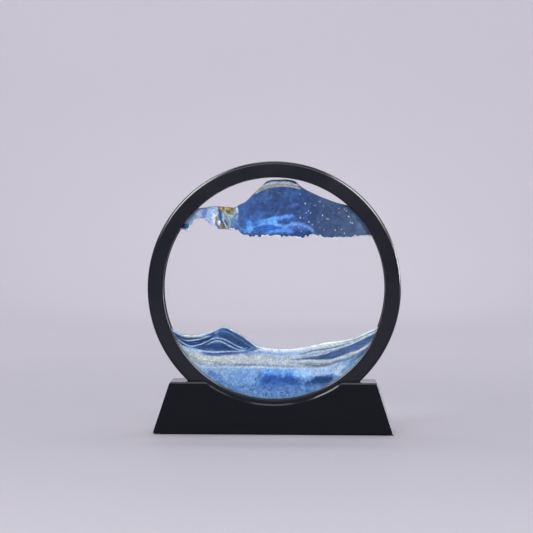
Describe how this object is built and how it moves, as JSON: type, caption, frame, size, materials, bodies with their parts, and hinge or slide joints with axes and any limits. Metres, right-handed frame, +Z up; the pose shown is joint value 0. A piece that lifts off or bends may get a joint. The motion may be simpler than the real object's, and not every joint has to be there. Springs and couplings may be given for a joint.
{
  "type": "moving sand picture",
  "caption": "Round liquid-filled sand picture in a black ring frame that turns and lifts out of a trapezoidal cradle stand.",
  "frame": {"origin": "middle of the underside of the anti-slip sheet, on the table", "axes": "+Z up, front faces -Y, +X to the right seen from the front"},
  "size_m": [0.178, 0.04, 0.1912],
  "materials": {
    "stand_shell": "smooth satin black moulding",
    "base_plate": "fine matt black moulding",
    "base_screws": "zinc-plated",
    "base_mat": "matt closed-cell foam",
    "liquid": "clear, colourless",
    "front_frame": "smooth satin black moulding",
    "rear_frame": "smooth satin black moulding",
    "frame_screws": "blackened",
    "front_gasket": "matt",
    "rear_gasket": "matt",
    "front_pane": "clear polished",
    "rear_pane": "clear polished",
    "cell_spacer": "satin",
    "front_seal": "matt",
    "rear_seal": "matt",
    "fill_plug": "matt",
    "bubble_raft": "foam of tiny air bubbles",
    "upper_navy_sand": "fine sand with bright flecks",
    "upper_azure_sand": "fine sand in clouds",
    "upper_pale_sand": "fine pale sand",
    "upper_gold_sand": "coarse glittering sand in veins",
    "peak_pale_sand": "pale and khaki bands",
    "peak_navy_sand": "fine dark sand",
    "lower_azure_sand": "fine sand in clouds",
    "lower_pale_sand": "fine pale sand in thin layers",
    "dune_navy_sand": "fine dark sand with pale contour lines",
    "right_navy_sand": "fine dark sand in bands",
    "crest_pale_sand": "fine pale sand in thin layers"
  },
  "bodies": {
    "stand": {"stand_shell": "stand_shell", "base_plate": "base_plate", "base_screws": "base_screws", "base_mat": "base_mat"},
    "liquid": {"liquid": "liquid"},
    "picture": {"front_frame": "front_frame", "rear_frame": "rear_frame", "frame_screws": "frame_screws", "front_gasket": "front_gasket", "rear_gasket": "rear_gasket", "front_pane": "front_pane", "rear_pane": "rear_pane", "cell_spacer": "cell_spacer", "front_seal": "front_seal", "rear_seal": "rear_seal", "fill_plug": "fill_plug", "bubble_raft": "bubble_raft", "upper_navy_sand": "upper_navy_sand", "upper_azure_sand": "upper_azure_sand", "upper_pale_sand": "upper_pale_sand", "upper_gold_sand": "upper_gold_sand", "peak_pale_sand": "peak_pale_sand", "peak_navy_sand": "peak_navy_sand", "lower_azure_sand": "lower_azure_sand", "lower_pale_sand": "lower_pale_sand", "dune_navy_sand": "dune_navy_sand", "right_navy_sand": "right_navy_sand", "crest_pale_sand": "crest_pale_sand"}
  },
  "joints": [
    {"name": "lift_out", "type": "slide", "parent": "stand", "child": "liquid", "axis": [0, 0, 1], "range_m": [0, 0.06]},
    {"name": "turn", "type": "hinge", "parent": "liquid", "child": "picture", "pos_m": [0, 0, 0.1022], "axis": [0, 1, 0], "continuous": true}
  ]
}
